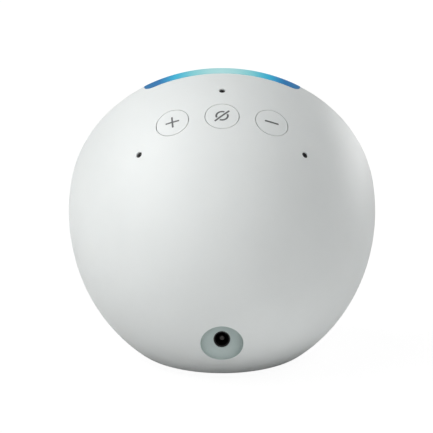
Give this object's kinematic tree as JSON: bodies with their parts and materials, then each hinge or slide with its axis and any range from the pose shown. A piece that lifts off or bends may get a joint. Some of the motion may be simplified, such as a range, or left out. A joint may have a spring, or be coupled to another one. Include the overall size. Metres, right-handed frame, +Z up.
{
  "type": "smart speaker",
  "caption": "Compact half-dome smart speaker with a leaning round fabric grille, top buttons, a light bar on the rim and a rear power socket.",
  "frame": {"origin": "centre of the bounding box in X and Y, on the surface it stands on", "axes": "+Z up, -Y is the fabric grille's side, +Y is the rear with the power socket, +X across"},
  "size_m": [0.099, 0.0823, 0.091],
  "materials": {
    "shell_white": "fine-textured moulded plastic",
    "button_white": "fine-textured moulded plastic",
    "foot_rubber": "matt",
    "tape": "adhesive foam tape",
    "cloth_white": "knitted polyester",
    "frame_grey": "moulded plastic",
    "light_bar": "milky light guide, lit blue at its ends",
    "reflector_white": "moulded plastic",
    "circuit_board": "solder mask",
    "led_lens": "clear",
    "baffle_black": "moulded plastic",
    "cup_black": "moulded plastic",
    "seal_foam": "closed-cell foam",
    "screw_steel": "zinc plated",
    "basket_steel": "black e-coat",
    "plate_steel": "zinc plated",
    "magnet_grey": "sintered ferrite",
    "cone_paper": "coated pulp",
    "surround_rubber": "matt",
    "spider_cloth": "resin-treated weave",
    "former_foil": "foil",
    "copper": "enamelled copper",
    "terminal_brown": "phenolic board",
    "wire_insulation": "vinyl",
    "chip_black": "epoxy",
    "pad_grey": "silicone pad",
    "aluminium": "extruded",
    "shield_tin": "tinned steel",
    "capacitor_can": "sleeved can",
    "inductor_grey": "pressed powder",
    "antenna_metal": "plated",
    "connector_ivory": "nylon",
    "socket_black": "moulded plastic",
    "contact_metal": "nickel plated",
    "switch_black": "moulded plastic",
    "plunger_white": "moulded plastic",
    "guide_grey": "moulded plastic",
    "microphone_can": "gold-plated lid",
    "seal_rubber": "silicone",
    "cable_amber": "polyimide"
  },
  "bodies": {
    "housing": {"antenna": "antenna_metal", "baffle": "baffle_black", "baffle_screws": "screw_steel", "board_connectors": "connector_ivory", "button_board": "circuit_board", "button_board_screws": "screw_steel", "button_cable": "cable_amber", "button_guide": "guide_grey", "capacitors": "capacitor_can", "cup_screws": "screw_steel", "cup_seal": "seal_foam", "driver_basket": "basket_steel", "driver_gasket": "seal_foam", "driver_magnet": "magnet_grey", "driver_screws": "screw_steel", "driver_spider": "spider_cloth", "driver_surround": "surround_rubber", "driver_terminals": "terminal_brown", "driver_top_plate": "plate_steel", "driver_yoke": "plate_steel", "foot_tape": "tape", "grille_cloth": "cloth_white", "grille_frame": "frame_grey", "heat_spreader": "aluminium", "inductors": "inductor_grey", "lead_grommet": "seal_rubber", "led_board": "circuit_board", "led_cable": "cable_amber", "leds": "led_lens", "light_bar": "light_bar", "light_reflector": "reflector_white", "main_board": "circuit_board", "main_board_screws": "screw_steel", "memory_chip": "chip_black", "microphone_seals": "seal_rubber", "microphones": "microphone_can", "power_socket": "socket_black", "power_socket_pin": "contact_metal", "power_socket_spring": "contact_metal", "processor": "chip_black", "radio_shield": "shield_tin", "rear_shell": "shell_white", "rubber_foot": "foot_rubber", "speaker_cup": "cup_black", "speaker_leads": "wire_insulation", "tact_switches": "switch_black", "thermal_pad": "pad_grey", "top_connectors": "connector_ivory"},
    "volume_up": {"volume_up_button": "button_white", "volume_up_plunger": "plunger_white"},
    "mic_mute": {"mic_mute_button": "button_white", "mic_mute_plunger": "plunger_white"},
    "volume_down": {"volume_down_button": "button_white", "volume_down_plunger": "plunger_white"},
    "cone": {"driver_cone": "cone_paper", "driver_dust_cap": "cone_paper", "voice_coil_former": "former_foil", "voice_coil_winding": "copper"}
  },
  "joints": [
    {"name": "volume_up_press", "type": "slide", "parent": "housing", "child": "volume_up", "axis": [0, -0.6042, -0.7968], "range_m": [0, 0.0005], "stiffness_N_per_m": 600, "springref_m": -0.0006},
    {"name": "mic_mute_press", "type": "slide", "parent": "housing", "child": "mic_mute", "axis": [0, -0.6042, -0.7968], "range_m": [0, 0.0005], "stiffness_N_per_m": 600, "springref_m": -0.0006},
    {"name": "volume_down_press", "type": "slide", "parent": "housing", "child": "volume_down", "axis": [0, -0.6042, -0.7968], "range_m": [0, 0.0005], "stiffness_N_per_m": 600, "springref_m": -0.0006},
    {"name": "cone_travel", "type": "slide", "parent": "housing", "child": "cone", "axis": [0, -0.9336, 0.3584], "range_m": [-0.0015, 0.0015], "stiffness_N_per_m": 600, "deforming": ["driver_surround", "driver_spider"]}
  ]
}
